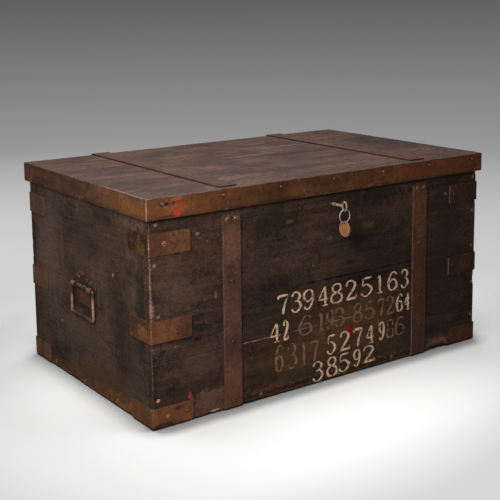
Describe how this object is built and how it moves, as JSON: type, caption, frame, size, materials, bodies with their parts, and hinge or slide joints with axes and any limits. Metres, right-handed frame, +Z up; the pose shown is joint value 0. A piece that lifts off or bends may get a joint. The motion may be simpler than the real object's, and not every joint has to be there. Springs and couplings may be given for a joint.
{
  "type": "steamer trunk",
  "caption": "Wooden steamer trunk bound with iron straps, corner plates and a lid band, with a strap-hinged lid, drop handles and a box lock with its key.",
  "frame": {"origin": "middle of the base's outline, on the plane that the trunk stands on", "axes": "+X to the right along the front, as seen by someone facing the lock; +Y from the lock towards the hinges; +Z up"},
  "size_m": [0.924, 0.62, 0.4649],
  "materials": {
    "front_wood": "dark worn varnish",
    "end_wood": "dark worn varnish",
    "lid_wood": "worn wax with a dull sheen",
    "inner_wood": "bare planed board",
    "band_iron": "brown rust",
    "strap_iron": "brown rust with worn edges",
    "plate_iron": "brown rust",
    "nail_iron": "dark oxide",
    "lock_iron": "dull grey iron",
    "key_steel": "handled bright steel",
    "fob_copper": "handled copper alloy"
  },
  "bodies": {
    "carcass": {"front_lower_board": "front_wood", "front_upper_board": "front_wood", "back_lower_board": "front_wood", "back_upper_board": "front_wood", "left_end_lower_board": "end_wood", "left_end_upper_board": "end_wood", "right_end_lower_board": "end_wood", "right_end_upper_board": "end_wood", "floor_board_1": "inner_wood", "floor_board_2": "inner_wood", "floor_board_3": "inner_wood", "left_front_strap": "strap_iron", "right_front_strap": "strap_iron", "left_hinge_lower_leaf": "strap_iron", "right_hinge_lower_leaf": "strap_iron", "left_hinge_pin": "lock_iron", "right_hinge_pin": "lock_iron", "front_left_top_corner_plate": "plate_iron", "front_left_middle_corner_plate": "plate_iron", "front_left_bottom_corner_plate": "plate_iron", "front_right_top_corner_plate": "plate_iron", "front_right_middle_corner_plate": "plate_iron", "front_right_bottom_corner_plate": "plate_iron", "back_left_top_corner_plate": "plate_iron", "back_left_middle_corner_plate": "plate_iron", "back_left_bottom_corner_plate": "plate_iron", "back_right_top_corner_plate": "plate_iron", "back_right_middle_corner_plate": "plate_iron", "back_right_bottom_corner_plate": "plate_iron", "left_handle_plate": "plate_iron", "right_handle_plate": "plate_iron", "left_handle_screw_lower_front": "nail_iron", "left_handle_screw_lower_back": "nail_iron", "left_handle_screw_upper_front": "nail_iron", "left_handle_screw_upper_back": "nail_iron", "right_handle_screw_lower_front": "nail_iron", "right_handle_screw_lower_back": "nail_iron", "right_handle_screw_upper_front": "nail_iron", "right_handle_screw_upper_back": "nail_iron", "lock_case": "lock_iron", "lock_screw_left": "nail_iron", "lock_screw_right": "nail_iron", "lock_drill_pin": "lock_iron"},
    "lid": {"lid_board_1": "lid_wood", "lid_board_2": "lid_wood", "lid_board_3": "lid_wood", "front_lid_band": "band_iron", "back_lid_band": "band_iron", "left_lid_band": "band_iron", "right_lid_band": "band_iron", "left_hinge_upper_leaf": "strap_iron", "right_hinge_upper_leaf": "strap_iron", "lock_staple": "lock_iron"},
    "left_bail": {"left_bail": "plate_iron"},
    "right_bail": {"right_bail": "plate_iron"},
    "key": {"key": "key_steel"},
    "key_ring": {"key_ring": "key_steel"},
    "key_fob": {"key_fob": "fob_copper"},
    "lock_bolt": {"lock_bolt": "lock_iron"}
  },
  "joints": [
    {"name": "lid_hinge", "type": "hinge", "parent": "carcass", "child": "lid", "pos_m": [0, 0.3041, 0.41141], "axis": [-1, 0, 0], "range_deg": [0, 105]},
    {"name": "left_bail_hinge", "type": "hinge", "parent": "carcass", "child": "left_bail", "pos_m": [-0.45593, 0.0292, 0.2263], "axis": [0, 1, 0], "range_deg": [0, 175]},
    {"name": "right_bail_hinge", "type": "hinge", "parent": "carcass", "child": "right_bail", "pos_m": [0.45593, 0.0292, 0.2263], "axis": [0, -1, 0], "range_deg": [0, 175]},
    {"name": "key_turn", "type": "hinge", "parent": "carcass", "child": "key", "pos_m": [0, -0.2495, 0.394], "axis": [0, -1, 0], "range_deg": [0, 360]},
    {"name": "bolt_slide", "type": "slide", "parent": "carcass", "child": "lock_bolt", "axis": [-1, 0, 0], "range_m": [0, 0.012]},
    {"name": "key_ring_hinge", "type": "hinge", "parent": "key", "child": "key_ring", "pos_m": [0, -0.293, 0.3879], "axis": [1, 0, 0], "range_deg": [-75, 25]},
    {"name": "key_fob_hinge", "type": "hinge", "parent": "key_ring", "child": "key_fob", "pos_m": [0, -0.293, 0.3599], "axis": [1, 0, 0], "range_deg": [-45, 30]}
  ],
  "couplings": [
    {"joint": "bolt_slide", "follows": "key_turn", "m_per_rad": 0.0019099}
  ]
}
